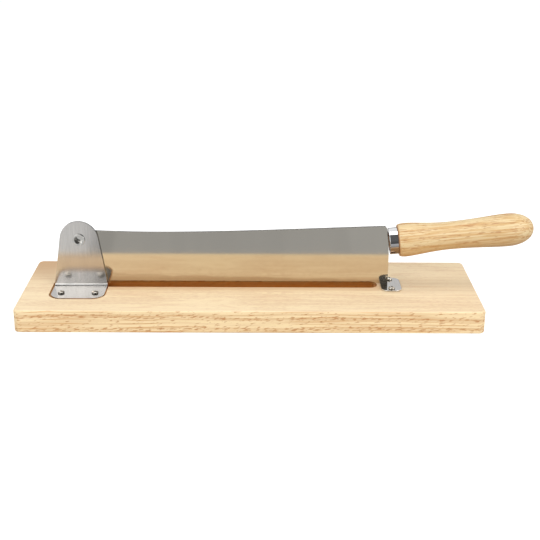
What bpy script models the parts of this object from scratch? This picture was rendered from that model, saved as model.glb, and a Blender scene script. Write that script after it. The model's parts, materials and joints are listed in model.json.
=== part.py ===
"""Bread slicing guide: a wooden board with a crumb groove, and a hinged blade that closes into it.

Metres, +Z up. The origin is the centre of the board's underside. X runs along the board
towards the handle, and Y runs across it, away from the user. The blade is shown closed.
"""
import math

import bmesh
import bpy
from mathutils import Vector
from mathutils.geometry import interpolate_bezier

MM = 0.001

# Fits
GAP = 0.3 * MM                     # between pieces that rest on or pass through each other
WELD = 0.001 * MM                  # points closer than this are one point

# Board
BOARD_LENGTH = 400 * MM
BOARD_WIDTH = 120 * MM
BOARD_THICKNESS = 20 * MM
BOARD_CORNER_RADIUS = 5 * MM       # seen from above
BOARD_ARRIS = 1.2 * MM             # rounding of the top and bottom edges

# Hinge axis
PIVOT_INSET = 49.1 * MM            # from the board's left end
PIVOT_HEIGHT = 42.8 * MM           # above the board's top
BLADE_LINE = 1.8 * MM              # the blade's middle, behind the board's

# Blade, measured from the hinge axis when closed
BLADE_THICKNESS = 2 * MM           # at the highest point of the spine
EDGE_THICKNESS = 0.4 * MM
EDGE_START = 10 * MM
EDGE_LENGTH = 251.7 * MM
HEEL_LENGTH = 11.9 * MM            # from the end of the edge to the blade's back end
EDGE_DEPTH = 7 * MM                # below the board's top
SPINE_START_HEIGHT = 8.4 * MM
SPINE_LOW_DISTANCE = 65 * MM
SPINE_LOW_HEIGHT = 6.6 * MM
SPINE_END_HEIGHT = 12.9 * MM
SPINE_START_SLOPE = -0.05
SPINE_END_SLOPE = 0.036
SPINE_CORNER_RADIUS = 3 * MM
TANG_HEIGHT = 10 * MM
TANG_DEPTH = 55 * MM               # into the handle

# Ferrule and handle, on an axis that rises away from the blade
HANDLE_TILT = math.radians(6.1)
FERRULE_DROP = 1.3 * MM            # from the hinge axis down to the ferrule's front face
FERRULE_DIAMETER = 23.6 * MM
FERRULE_LENGTH = 7.6 * MM
FERRULE_WALL = 1 * MM
FERRULE_LIP = 2 * MM               # turned in at the front, round the tang
FERRULE_SETBACK = 0.8 * MM         # from the blade's back end
HANDLE_LENGTH = 119.6 * MM
HANDLE_NOSE_RADIUS = 13 * MM       # where it meets the ferrule
HANDLE_SHOULDER_RADIUS = 14.9 * MM
HANDLE_SHOULDER_AT = 6 * MM
HANDLE_WAIST_RADIUS = 12.3 * MM
HANDLE_WAIST_AT = 45 * MM
HANDLE_BELLY_RADIUS = 14.5 * MM
HANDLE_BUTT = 23 * MM              # from the fullest part of the belly to the end
HANDLE_EDGE_FULLNESS = 0.63        # share of each curve that its handles reach, from 0 to 1
HANDLE_FULL_REACH = 0.25
HANDLE_WAIST_REACH = 0.45
HANDLE_BUTT_FULLNESS = 0.6

# Hinge bracket, one bent sheet
SHEET = 2 * MM
EAR_RADIUS = 16.8 * MM             # round the hinge axis
FOOT_WIDTH = 46.6 * MM
FOOT_LENGTH = 30.6 * MM            # from the ear's outer face
FOOT_CORNER_RADIUS = 11 * MM
BEND_RADIUS = 2 * MM               # inside the bend
FOOT_SCREW_FROM_SIDE = 8.5 * MM
FOOT_SCREW_FROM_FRONT = 12 * MM

# Pocket in the board round the bracket's foot
POCKET_GAP_LEFT = 1.9 * MM
POCKET_GAP_RIGHT = 1.2 * MM
POCKET_GAP_FRONT = 1.8 * MM
POCKET_CORNER_EXTRA = 1 * MM       # more radius than the foot's corner
POCKET_BACK = 5 * MM               # behind the blade's middle
POCKET_BACK_RADIUS = 4 * MM

# Crumb groove
GROOVE_WIDTH = 14 * MM
GROOVE_FLOOR_GAP = 3 * MM          # below the cutting edge
GROOVE_RUN_IN = 20 * MM            # before the cutting edge starts
GROOVE_RUN_OUT = 3 * MM            # after the cutting edge ends

# Pivot rivet, hollow from the front
RIVET_DIAMETER = 8.6 * MM
RIVET_WALL = 0.75 * MM
RIVET_MOUTH_WALL = 0.45 * MM       # where the bore opens out at the mouth
RIVET_FLANGE_DIAMETER = 10.8 * MM
RIVET_FLANGE_HEIGHT = 0.6 * MM
RIVET_HEAD_DIAMETER = 13 * MM
RIVET_HEAD_HEIGHT = 2.2 * MM
RIVET_BOTTOM = 1.4 * MM            # metal behind the bore

# Stop plate under the blade's heel
STOP_LENGTH = 18 * MM              # along the board
STOP_WIDTH = 31.4 * MM             # across it, centred on it
STOP_THICKNESS = 1.2 * MM
STOP_CORNER_RADIUS = 5.5 * MM
STOP_OVERLAP = 6.5 * MM            # under the heel
STOP_SCREW_SPACING = 22 * MM

# Cross-head screws
SCREW_LENGTH = 12 * MM             # under the head
SCREW_DIAMETER = 3 * MM
SCREW_TIP = 3 * MM
SCREW_HEAD_DIAMETER = 5.9 * MM
SCREW_HEAD_EDGE = 0.5 * MM
SCREW_HEAD_HEIGHT = 1.6 * MM
CROSS_LENGTH = 3.6 * MM
CROSS_WIDTH = 0.9 * MM
CROSS_DEPTH = 1 * MM

# Fineness of the round shapes
TURNED_STEPS = 40
SMALL_STEPS = 20
ARC_STEPS = 8
EAR_STEPS = 24
BEND_STEPS = 4
CROWN_STEPS = 4
CURVE_STEPS = 9

# Places that follow from the sizes
BOARD_TOP = BOARD_THICKNESS
PIVOT = Vector((-BOARD_LENGTH / 2 + PIVOT_INSET, BLADE_LINE, BOARD_TOP + PIVOT_HEIGHT))
EAR_INSIDE = BLADE_THICKNESS / 2 + GAP
EAR_OUTSIDE = EAR_INSIDE + SHEET
FOOT_FRONT = EAR_OUTSIDE + FOOT_LENGTH
GROOVE_DEPTH = EDGE_DEPTH + GROOVE_FLOOR_GAP
EDGE_BELOW_PIVOT = PIVOT_HEIGHT + EDGE_DEPTH
STOP_TOP = BOARD_TOP + GAP + STOP_THICKNESS
HEEL_BELOW_PIVOT = PIVOT.z - STOP_TOP - GAP
HEEL_DISTANCE = EDGE_START + EDGE_LENGTH + HEEL_LENGTH
FERRULE_RADIUS = FERRULE_DIAMETER / 2
FERRULE_DISTANCE = (HEEL_DISTANCE + FERRULE_SETBACK * math.cos(HANDLE_TILT)
                    - FERRULE_RADIUS * math.sin(HANDLE_TILT))

# Colours and finishes: colour, metallic, roughness
WOOD = ("rubberwood", (0.80, 0.60, 0.36), 0.0, 0.55)
HANDLE_WOOD = ("turned_wood", (0.83, 0.60, 0.30), 0.0, 0.50)
BLADE_STEEL = ("polished_steel", (0.62, 0.62, 0.61), 1.0, 0.12)
BRACKET_STEEL = ("brushed_steel", (0.56, 0.55, 0.53), 1.0, 0.30)
CHROME = ("chrome", (0.75, 0.75, 0.77), 1.0, 0.08)
SCREW_STEEL = ("nickel_plate", (0.66, 0.62, 0.54), 1.0, 0.25)


def clear_scene():
    """Remove what a new file holds."""
    for old in list(bpy.data.objects):
        bpy.data.objects.remove(old, do_unlink=True)


def material(finish):
    """Return the Principled material of a finish, made once."""
    name, colour, metallic, roughness = finish
    found = bpy.data.materials.get(name)
    if found:
        return found
    made = bpy.data.materials.new(name)
    made.use_nodes = True
    shader = made.node_tree.nodes["Principled BSDF"]
    shader.inputs["Base Color"].default_value = (*colour, 1)
    shader.inputs["Metallic"].default_value = metallic
    shader.inputs["Roughness"].default_value = roughness
    made.diffuse_color = (*colour, 1)
    return made


def place(name, bm, finish=None, closed=True):
    """Turn a bmesh into an object of the scene, shaded smooth across shallow angles."""
    if closed:
        bmesh.ops.recalc_face_normals(bm, faces=bm.faces)
    mesh = bpy.data.meshes.new(name)
    bm.to_mesh(mesh)
    bm.free()
    mesh.shade_smooth()
    mesh.set_sharp_from_angle(angle=math.radians(35))
    thing = bpy.data.objects.new(name, mesh)
    bpy.context.scene.collection.objects.link(thing)
    if finish:
        mesh.materials.append(material(finish))
    return thing


def cut(body, name, bm, parent=None):
    """Cut a bmesh out of a body with a Boolean, and hide the cutter."""
    cutter = place(name, bm)
    cutter.parent = parent
    cutter.hide_render = True
    cutter.display_type = "WIRE"
    boolean = body.modifiers.new(name, "BOOLEAN")
    boolean.operation = "DIFFERENCE"
    boolean.solver = "EXACT"
    boolean.object = cutter
    return cutter


def arc(centre, radius, start, end, steps):
    """Return the points of an arc in a plane, both ends included."""
    turn = (end - start) / steps
    angles = [start + turn * i for i in range(steps + 1)]
    return [centre + radius * Vector((math.cos(a), math.sin(a))) for a in angles]


def rounded(before, corner, after, radius, steps=ARC_STEPS):
    """Return the points of a corner rounded with an arc that touches both its sides."""
    back = (before - corner).normalized()
    ahead = (after - corner).normalized()
    half = back.angle(ahead) / 2
    reach = radius / math.tan(half)
    centre = corner + (back + ahead).normalized() * radius / math.sin(half)
    first = corner + back * reach - centre
    last = corner + ahead * reach - centre
    turn = last.angle_signed(first)
    start = math.atan2(first.y, first.x)
    return arc(centre, radius, start, start + turn, steps)


def rounded_polygon(corners, radii):
    """Return an outline with each corner rounded by its own radius, or sharp where it is 0."""
    outline = []
    for i, (corner, radius) in enumerate(zip(corners, radii)):
        if radius:
            outline += rounded(corners[i - 1], corner, corners[(i + 1) % len(corners)], radius)
        else:
            outline.append(corner)
    return outline


def rectangle(left, right, front, back):
    """Return the corners of a rectangle, anticlockwise from the front left."""
    return [Vector((left, front)), Vector((right, front)), Vector((right, back)), Vector((left, back))]


def plate(outline, bottom, top):
    """Return a bmesh of an upright prism over an outline in X and Y."""
    bm = bmesh.new()
    face = bm.faces.new([bm.verts.new((p.x, p.y, bottom)) for p in outline])
    raised = bmesh.ops.extrude_face_region(bm, geom=[face])["geom"]
    lifted = [v for v in raised if isinstance(v, bmesh.types.BMVert)]
    bmesh.ops.translate(bm, verts=lifted, vec=(0, 0, top - bottom))
    return bm


def turned(profile, steps, hollow=False):
    """Return a bmesh of a profile of radius and height, turned once about +Z."""
    bm = bmesh.new()
    points = [bm.verts.new((p.x, 0, p.y)) for p in profile]
    edges = [bm.edges.new(pair) for pair in zip(points, points[1:])]
    if hollow:
        edges.append(bm.edges.new((points[-1], points[0])))
    bmesh.ops.spin(bm, geom=points + edges, cent=(0, 0, 0), axis=(0, 0, 1),
                   angle=math.tau, steps=steps, use_merge=True)
    bmesh.ops.remove_doubles(bm, verts=bm.verts, dist=WELD)
    return bm


def add_rod(bm, x, y, bottom, top, diameter):
    """Add an upright cylinder to a bmesh."""
    made = bmesh.ops.create_cone(bm, cap_ends=True, segments=SMALL_STEPS, radius1=diameter / 2,
                                 radius2=diameter / 2, depth=top - bottom)
    bmesh.ops.translate(bm, verts=made["verts"], vec=(x, y, (bottom + top) / 2))


def curve(start, start_handle, end_handle, end, steps=CURVE_STEPS):
    """Return the points of a smooth curve between two ends, in a plane."""
    return [p.to_2d() for p in interpolate_bezier(start, start_handle, end_handle, end, steps + 1)]


def foot_screw_places():
    """Return X and Y of the two bracket screws, left first."""
    across = FOOT_WIDTH / 2 - FOOT_SCREW_FROM_SIDE
    y = PIVOT.y - FOOT_FRONT + FOOT_SCREW_FROM_FRONT
    return [(PIVOT.x + side * across, y) for side in (-1, 1)]


def stop_middle_x():
    """Return X of the stop plate's middle."""
    return PIVOT.x + HEEL_DISTANCE - STOP_OVERLAP + STOP_LENGTH / 2


def stop_screw_places():
    """Return X and Y of the two stop plate screws, front first."""
    return [(stop_middle_x(), side * STOP_SCREW_SPACING / 2) for side in (-1, 1)]


def make_board():
    """Make the board, with its groove, bracket pocket and screw holes."""
    half = BOARD_LENGTH / 2
    outline = rounded_polygon(rectangle(-half, half, -BOARD_WIDTH / 2, BOARD_WIDTH / 2),
                              [BOARD_CORNER_RADIUS] * 4)
    bm = plate(outline, 0, BOARD_TOP)
    rims = [e for e in bm.edges if abs(e.verts[0].co.z - e.verts[1].co.z) < WELD]
    bmesh.ops.bevel(bm, geom=rims, offset=BOARD_ARRIS, offset_type="OFFSET", segments=3,
                    profile=0.5, affect="EDGES", material=-1, clamp_overlap=True)
    board = place("board", bm, WOOD)

    foot_left = PIVOT.x - FOOT_WIDTH / 2
    foot_right = PIVOT.x + FOOT_WIDTH / 2
    front_radius = FOOT_CORNER_RADIUS + POCKET_CORNER_EXTRA
    pocket = rounded_polygon(rectangle(foot_left - POCKET_GAP_LEFT, foot_right + POCKET_GAP_RIGHT,
                                       PIVOT.y - FOOT_FRONT - POCKET_GAP_FRONT,
                                       PIVOT.y + POCKET_BACK),
                             [front_radius, front_radius, POCKET_BACK_RADIUS, POCKET_BACK_RADIUS])
    cut(board, "bracket_pocket", plate(pocket, BOARD_TOP - SHEET - GAP, BOARD_TOP + SHEET))

    radius = GROOVE_WIDTH / 2
    start = PIVOT.x + EDGE_START - GROOVE_RUN_IN + radius
    end = PIVOT.x + EDGE_START + EDGE_LENGTH + GROOVE_RUN_OUT - radius
    groove = arc(Vector((end, PIVOT.y)), radius, -math.pi / 2, math.pi / 2, 2 * ARC_STEPS)
    groove += arc(Vector((start, PIVOT.y)), radius, math.pi / 2, 3 * math.pi / 2, 2 * ARC_STEPS)
    cut(board, "crumb_groove", plate(groove, BOARD_TOP - GROOVE_DEPTH, BOARD_TOP + SHEET))

    holes = bmesh.new()
    foot_bottom = BOARD_TOP - SHEET
    for x, y in foot_screw_places():
        add_rod(holes, x, y, foot_bottom - hole_depth(SHEET), BOARD_TOP, SCREW_DIAMETER + 2 * GAP)
    for x, y in stop_screw_places():
        bottom = BOARD_TOP + GAP - hole_depth(STOP_THICKNESS)
        add_rod(holes, x, y, bottom, BOARD_TOP + SHEET, SCREW_DIAMETER + 2 * GAP)
    cut(board, "screw_holes", holes)


def hole_depth(plate_thickness):
    """Return how far a screw hole goes below the underside of the plate that it holds."""
    return SCREW_LENGTH - plate_thickness + 2 * GAP


def make_bracket():
    """Make the hinge bracket: a flat pattern bent up along one line."""
    flat = FOOT_LENGTH - BEND_RADIUS
    bend = BEND_RADIUS * math.pi / 2
    half = FOOT_WIDTH / 2
    ear_start = flat + bend
    centre = Vector((0, ear_start + PIVOT_HEIGHT - BEND_RADIUS))
    corner = Vector((half, ear_start))
    away = corner - centre
    tangent = math.atan2(away.y, away.x) + math.acos(EAR_RADIUS / away.length)
    outline = rounded(Vector((-half, flat)), Vector((-half, 0)), Vector((half, 0)), FOOT_CORNER_RADIUS)
    outline += rounded(Vector((-half, 0)), Vector((half, 0)), Vector((half, flat)), FOOT_CORNER_RADIUS)
    outline.append(corner)
    outline += arc(centre, EAR_RADIUS, tangent, math.pi - tangent, EAR_STEPS)
    outline.append(Vector((-half, ear_start)))

    bm = bmesh.new()
    bm.faces.new([bm.verts.new((p.x, p.y, 0)) for p in outline])
    for i in range(BEND_STEPS + 1):
        line = (0, flat + bend * i / BEND_STEPS, 0)
        geometry = bm.verts[:] + bm.edges[:] + bm.faces[:]
        bmesh.ops.bisect_plane(bm, geom=geometry, dist=WELD, plane_co=line, plane_no=(0, 1, 0))
    for v in bm.verts:
        v.co = bent(v.co.x, v.co.y, flat, bend)
    bracket = place("hinge_bracket", bm, BRACKET_STEEL, closed=False)
    thicken = bracket.modifiers.new("sheet", "SOLIDIFY")
    thicken.thickness = SHEET
    thicken.offset = -1
    thicken.use_even_offset = True
    bracket.location = (PIVOT.x, PIVOT.y, BOARD_TOP)

    holes = bmesh.new()
    for x, y in foot_screw_places():
        add_rod(holes, x - PIVOT.x, y - PIVOT.y, -2 * SHEET, SHEET, SCREW_DIAMETER + 2 * GAP)
    pin = bmesh.ops.create_cone(holes, cap_ends=True, segments=SMALL_STEPS, depth=4 * EAR_OUTSIDE,
                                radius1=RIVET_DIAMETER / 2 + GAP, radius2=RIVET_DIAMETER / 2 + GAP)
    lay_along_y(holes, pin["verts"])
    bmesh.ops.translate(holes, verts=pin["verts"], vec=(0, 0, PIVOT_HEIGHT))
    cut(bracket, "hinge_bracket_holes", holes, parent=bracket)


def bent(x, along, flat, bend):
    """Return where a point of the bracket's flat pattern lies on the bent sheet's outer face."""
    front = -FOOT_FRONT
    if along <= flat:
        return Vector((x, front + along, 0))
    if along >= flat + bend:
        return Vector((x, -EAR_OUTSIDE, BEND_RADIUS + along - flat - bend))
    angle = (along - flat) / BEND_RADIUS
    y = front + flat + BEND_RADIUS * math.sin(angle)
    return Vector((x, y, BEND_RADIUS * (1 - math.cos(angle))))


def lay_along_y(bm, verts):
    """Turn points that were made about +Z so that they lie about the Y axis, top to the front."""
    for v in verts:
        v.co = Vector((v.co.x, -v.co.z, v.co.y))


def make_rivet():
    """Make the pivot rivet: a flange and an open bore in front, a low domed head behind."""
    radius = RIVET_DIAMETER / 2
    flange = EAR_OUTSIDE + GAP
    front = flange + RIVET_FLANGE_HEIGHT
    head = RIVET_HEAD_DIAMETER / 2
    head_front = -BLADE_THICKNESS / 2 - GAP
    head_back = head_front - RIVET_HEAD_HEIGHT
    floor = head_back + RIVET_BOTTOM
    mouth = radius - RIVET_MOUTH_WALL
    bore = radius - RIVET_WALL
    ring = RIVET_FLANGE_DIAMETER / 2
    dome = curve(Vector((0, head_back)), Vector((head / 2, head_back)),
                 Vector((head, (head_back + head_front) / 2)), Vector((head, head_front)))
    profile = [Vector((0, floor)), Vector((bore, floor))]
    profile += [Vector((bore, front - RIVET_FLANGE_HEIGHT)), Vector((mouth, front))]
    profile += rounded(Vector((mouth, front)), Vector((ring, front)), Vector((ring, flange)),
                       RIVET_FLANGE_HEIGHT / 2, 3)
    profile += [Vector((ring, flange)), Vector((radius, flange)), Vector((radius, head_front))]
    profile += dome[::-1]
    bm = turned(profile, TURNED_STEPS)
    lay_along_y(bm, bm.verts)
    rivet = place("pivot_rivet", bm, CHROME)
    rivet.location = PIVOT


def make_screw_mesh():
    """Make the mesh that all the screws share, its origin under the head."""
    head = SCREW_HEAD_DIAMETER / 2
    shank = SCREW_DIAMETER / 2
    profile = [Vector((0, -SCREW_LENGTH)), Vector((shank, -SCREW_LENGTH + SCREW_TIP)), Vector((shank, 0)),
               Vector((head, 0)), Vector((head, SCREW_HEAD_EDGE))]
    crown = curve(Vector((head, SCREW_HEAD_EDGE)), Vector((head * 0.9, SCREW_HEAD_HEIGHT)),
                  Vector((head / 2, SCREW_HEAD_HEIGHT)), Vector((0, SCREW_HEAD_HEIGHT)), CROWN_STEPS)
    screw = place("screw", turned(profile + crown[1:], SMALL_STEPS), SCREW_STEEL)

    arm = CROSS_LENGTH / 2
    rib = CROSS_WIDTH / 2
    steps = [(arm, rib), (rib, rib), (rib, arm)]
    outline = []
    for quarter in range(4):
        turn = quarter * math.pi / 2
        for x, y in steps:
            outline.append(Vector((x * math.cos(turn) - y * math.sin(turn),
                                   x * math.sin(turn) + y * math.cos(turn))))
    recess = plate(outline, SCREW_HEAD_HEIGHT - CROSS_DEPTH, SCREW_HEAD_HEIGHT + CROSS_DEPTH)
    cutter = cut(screw, "cross_recess", recess)
    shape = screw.evaluated_get(bpy.context.evaluated_depsgraph_get())
    mesh = bpy.data.meshes.new_from_object(shape)
    mesh.name = "cross_head_screw"
    for spare in (screw, cutter):
        bpy.data.objects.remove(spare, do_unlink=True)
    return mesh


def make_screws():
    """Place the two bracket screws and the two stop plate screws."""
    mesh = make_screw_mesh()
    names = ["bracket_screw_left", "bracket_screw_right", "stop_screw_front", "stop_screw_rear"]
    places = [(x, y, BOARD_TOP + GAP) for x, y in foot_screw_places()]
    places += [(x, y, STOP_TOP + GAP) for x, y in stop_screw_places()]
    for name, where in zip(names, places):
        screw = bpy.data.objects.new(name, mesh)
        screw.location = where
        bpy.context.scene.collection.objects.link(screw)


def make_stop_plate():
    """Make the small plate that the blade's heel comes down on."""
    middle = stop_middle_x()
    corners = rectangle(middle - STOP_LENGTH / 2, middle + STOP_LENGTH / 2, -STOP_WIDTH / 2, STOP_WIDTH / 2)
    outline = rounded_polygon(corners, [STOP_CORNER_RADIUS] * 4)
    stop = place("stop_plate", plate(outline, BOARD_TOP + GAP, STOP_TOP), BRACKET_STEEL)
    holes = bmesh.new()
    for x, y in stop_screw_places():
        add_rod(holes, x, y, BOARD_TOP, STOP_TOP + STOP_THICKNESS, SCREW_DIAMETER + 2 * GAP)
    cut(stop, "stop_plate_holes", holes)


def on_handle_axis(along, above):
    """Return a point of the blade's plane from its place along and above the handle's axis."""
    across = Vector((math.cos(HANDLE_TILT), math.sin(HANDLE_TILT)))
    up = Vector((-math.sin(HANDLE_TILT), math.cos(HANDLE_TILT)))
    return Vector((FERRULE_DISTANCE, -FERRULE_DROP)) + along * across + above * up


def spine_curve(corner):
    """Return the points of the blade's spine from the hinge to its back corner."""
    start = Vector((0, SPINE_START_HEIGHT))
    low = Vector((SPINE_LOW_DISTANCE, SPINE_LOW_HEIGHT))
    near = SPINE_LOW_DISTANCE / 3
    far = (corner.x - low.x) / 3
    spine = curve(start, start + near * Vector((1, SPINE_START_SLOPE)), low - Vector((near, 0)), low)
    rise = curve(low, low + Vector((far, 0)), corner - far * Vector((1, SPINE_END_SLOPE)), corner)
    return spine + rise[1:]


def blade_outline():
    """Return the blade's side view, from the hinge axis, with its tang."""
    edge = -EDGE_BELOW_PIVOT
    heel = -HEEL_BELOW_PIVOT
    edge_start = Vector((EDGE_START, edge))
    edge_end = Vector((EDGE_START + EDGE_LENGTH, edge))
    back = -FERRULE_SETBACK
    low_back = on_handle_axis(back, -FERRULE_RADIUS)
    tang_end = FERRULE_LENGTH + TANG_DEPTH
    root = on_handle_axis(back, 0)
    lean = math.tan(HANDLE_TILT)
    corner = Vector((root.x - (SPINE_END_HEIGHT - root.y) * lean, SPINE_END_HEIGHT))
    tang_top = on_handle_axis(back, TANG_HEIGHT / 2)

    outline = [edge_start, edge_end, Vector((edge_end.x, heel)), Vector((low_back.x, heel)), low_back]
    outline += [on_handle_axis(back, -TANG_HEIGHT / 2), on_handle_axis(tang_end, -TANG_HEIGHT / 2)]
    outline += [on_handle_axis(tang_end, TANG_HEIGHT / 2), tang_top]
    spine = spine_curve(corner)
    outline += rounded(tang_top, corner, spine[-2], SPINE_CORNER_RADIUS, ARC_STEPS // 2)
    outline += spine[-2:0:-1]
    distance = edge_start.length
    left = math.atan2(edge_start.y, edge_start.x) - math.acos(SPINE_START_HEIGHT / distance) + math.tau
    outline += arc(Vector((0, 0)), SPINE_START_HEIGHT, math.pi / 2, left, 2 * ARC_STEPS)
    return outline


def make_blade(hinge):
    """Make the blade, ground to one even wedge from its spine to its edge."""
    bm = plate(blade_outline(), -1, 1)
    height = SPINE_END_HEIGHT + EDGE_BELOW_PIVOT
    for v in bm.verts:
        share = (v.co.y + EDGE_BELOW_PIVOT) / height
        half = (EDGE_THICKNESS + (BLADE_THICKNESS - EDGE_THICKNESS) * share) / 2
        v.co = Vector((v.co.x, -v.co.z * half, v.co.y))
    blade = place("blade", bm, BLADE_STEEL)
    blade.parent = hinge
    hole = bmesh.new()
    pin = bmesh.ops.create_cone(hole, cap_ends=True, segments=TURNED_STEPS, depth=4 * BLADE_THICKNESS,
                                radius1=RIVET_DIAMETER / 2 + GAP, radius2=RIVET_DIAMETER / 2 + GAP)
    lay_along_y(hole, pin["verts"])
    cut(blade, "blade_hole", hole, parent=blade)


def put_on_handle_axis(thing, hinge):
    """Stand a turned piece on the handle's axis, its own +Z running away from the blade."""
    thing.parent = hinge
    thing.location = (FERRULE_DISTANCE, 0, -FERRULE_DROP)
    thing.rotation_euler.y = math.pi / 2 - HANDLE_TILT


def tang_slot(start, end):
    """Return a bmesh of the tang's room between two places along the handle's axis."""
    tall = TANG_HEIGHT / 2 + GAP
    wide = BLADE_THICKNESS / 2 + GAP
    return plate(rectangle(-tall, tall, -wide, wide), start, end)


def make_ferrule(hinge):
    """Make the ferrule: a short tube over the handle's tenon, its front edge turned in."""
    outer = FERRULE_RADIUS
    inner = outer - FERRULE_WALL
    lip = inner - FERRULE_LIP
    edge = FERRULE_WALL / 2
    profile = rounded(Vector((lip, 0)), Vector((outer, 0)), Vector((outer, FERRULE_LENGTH)), edge, 4)
    profile += [Vector((outer, FERRULE_LENGTH)), Vector((inner, FERRULE_LENGTH))]
    profile += [Vector((inner, FERRULE_WALL)), Vector((lip, FERRULE_WALL)), Vector((lip, 0))]
    ferrule = place("ferrule", turned(profile, TURNED_STEPS, hollow=True), CHROME)
    put_on_handle_axis(ferrule, hinge)


def make_handle(hinge):
    """Make the turned handle, with a tenon in the ferrule and a slot for the tang."""
    shoulder_face = FERRULE_LENGTH + GAP
    tenon = FERRULE_RADIUS - FERRULE_WALL - GAP
    full = Vector((HANDLE_SHOULDER_RADIUS, HANDLE_SHOULDER_AT))
    waist = Vector((HANDLE_WAIST_RADIUS, HANDLE_WAIST_AT))
    belly = Vector((HANDLE_BELLY_RADIUS, HANDLE_LENGTH - HANDLE_BUTT))
    nose = Vector((HANDLE_NOSE_RADIUS, 0))
    butt = Vector((0, HANDLE_LENGTH))
    neck = waist.y - full.y
    swell = belly.y - waist.y
    edge_out = nose.lerp(Vector((full.x, nose.y)), HANDLE_EDGE_FULLNESS)
    edge_in = full.lerp(Vector((full.x, nose.y)), HANDLE_EDGE_FULLNESS)
    body = curve(nose, edge_out, edge_in, full, ARC_STEPS // 2)
    body += curve(full, full + Vector((0, HANDLE_FULL_REACH * neck)),
                  waist - Vector((0, HANDLE_WAIST_REACH * neck)), waist)[1:]
    body += curve(waist, waist + Vector((0, HANDLE_WAIST_REACH * swell)),
                  belly - Vector((0, HANDLE_FULL_REACH * swell)), belly)[1:]
    body += curve(belly, belly + Vector((0, HANDLE_BUTT_FULLNESS * HANDLE_BUTT)),
                  Vector((HANDLE_BUTT_FULLNESS * belly.x, butt.y)), butt)[1:]
    profile = [Vector((0, FERRULE_WALL + GAP)), Vector((tenon, FERRULE_WALL + GAP))]
    profile.append(Vector((tenon, shoulder_face)))
    profile += [p + Vector((0, shoulder_face)) for p in body]
    handle = place("handle", turned(profile, TURNED_STEPS), HANDLE_WOOD)
    put_on_handle_axis(handle, hinge)
    slot = tang_slot(0, FERRULE_LENGTH + TANG_DEPTH + GAP)
    cut(handle, "tang_slot", slot, parent=handle)


def main():
    clear_scene()
    make_board()
    make_bracket()
    make_rivet()
    make_stop_plate()
    make_screws()
    hinge = bpy.data.objects.new("blade_hinge", None)
    hinge.location = PIVOT
    bpy.context.scene.collection.objects.link(hinge)
    make_blade(hinge)
    make_ferrule(hinge)
    make_handle(hinge)


main()
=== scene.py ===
"""Finishes the bread slicing guide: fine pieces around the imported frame, their surfaces, and a studio.

Metres, +Z up, in the frame's own axes: X runs along the board towards the handle, and Y runs
across it, away from the user. The blade is shown closed.
"""
import json
import math

import bmesh
import bpy
from bpy.props import FloatProperty, FloatVectorProperty, IntProperty, PointerProperty
from mathutils import Matrix, Vector
from mathutils.geometry import interpolate_bezier


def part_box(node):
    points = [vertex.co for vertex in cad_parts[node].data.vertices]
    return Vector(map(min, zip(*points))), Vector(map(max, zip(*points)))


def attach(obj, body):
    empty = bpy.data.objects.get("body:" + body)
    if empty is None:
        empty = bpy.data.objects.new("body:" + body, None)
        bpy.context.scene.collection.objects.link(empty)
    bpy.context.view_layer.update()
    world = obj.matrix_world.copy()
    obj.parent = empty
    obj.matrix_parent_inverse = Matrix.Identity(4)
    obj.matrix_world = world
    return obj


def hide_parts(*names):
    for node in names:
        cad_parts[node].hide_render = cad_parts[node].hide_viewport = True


bl_info = {
    "name": "Bread Slicing Guide",
    "version": (1, 0, 0),
    "blender": (4, 5, 0),
    "location": "View3D > Sidebar > Bread Guide",
    "description": "Builds the board, the hinged blade and its handle, with their finishes and a studio",
    "category": "Add Mesh",
}

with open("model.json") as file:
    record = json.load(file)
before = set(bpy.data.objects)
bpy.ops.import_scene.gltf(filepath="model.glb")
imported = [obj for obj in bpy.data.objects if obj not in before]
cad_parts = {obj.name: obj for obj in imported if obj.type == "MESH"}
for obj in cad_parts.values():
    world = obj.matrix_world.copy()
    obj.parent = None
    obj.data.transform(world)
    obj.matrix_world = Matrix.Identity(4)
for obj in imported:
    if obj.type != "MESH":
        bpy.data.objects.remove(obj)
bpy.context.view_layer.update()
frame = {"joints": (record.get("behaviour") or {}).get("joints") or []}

MM = 0.001
WELD = 0.001 * MM
GAP = 0.3 * MM                     # between pieces that rest on or pass through each other
SHARP = math.radians(35)           # an edge that turns more than this is softened, or stays sharp
SMALL_STEPS = 64                   # round a screw and the rivet's holes
HOLE_STEPS = 48                    # round a screw's hole

HINGE = Vector(frame["joints"][0]["pos_m"])
BOARD_LOW, BOARD_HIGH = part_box("board")
BRACKET_LOW, BRACKET_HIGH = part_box("hinge_bracket")

# The screws, and the degrees that each one's cross is turned
BRACKET_SCREWS = {"bracket_screw_left": 20, "bracket_screw_right": 65}
STOP_SCREWS = {"stop_screw_front": 38, "stop_screw_rear": 5}

# Curved cards that only reflections see: name, distance from the piece, left and right end, where
# it starts and ends in degrees from straight behind the piece, over its top, to the front, and level
CARDS = (("card_behind_low", 1.5, -1.2, 1.2, -2, 13, 0.08),
         ("card_behind", 1.5, -1.2, 1.2, 13, 24, 0.67),
         ("card_top", 1.5, -1.2, 1.2, 79, 104, 0.45),
         ("card_front_high", 0.5, -0.206, 0.38, 104, 160, 0.12),
         ("card_front_low", 0.5, -0.12, 0.38, 160, 184, 0.09),
         ("card_front_left", 0.5, -0.5, -0.12, 158, 172, 1.6))
# Flat ones on the floor in front of the board: name, left and right end, and level
FLOOR_CARDS = (("card_floor_ear", -0.8, -0.163, 0.74),
               ("card_floor_hinge", -0.163, -0.140, 0.37),
               ("card_floor_middle", -0.140, 0.1, 0.41),
               ("card_floor_right", 0.1, 0.8, 0.44))
FLOOR_CARD_FRONT = -0.5
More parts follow.
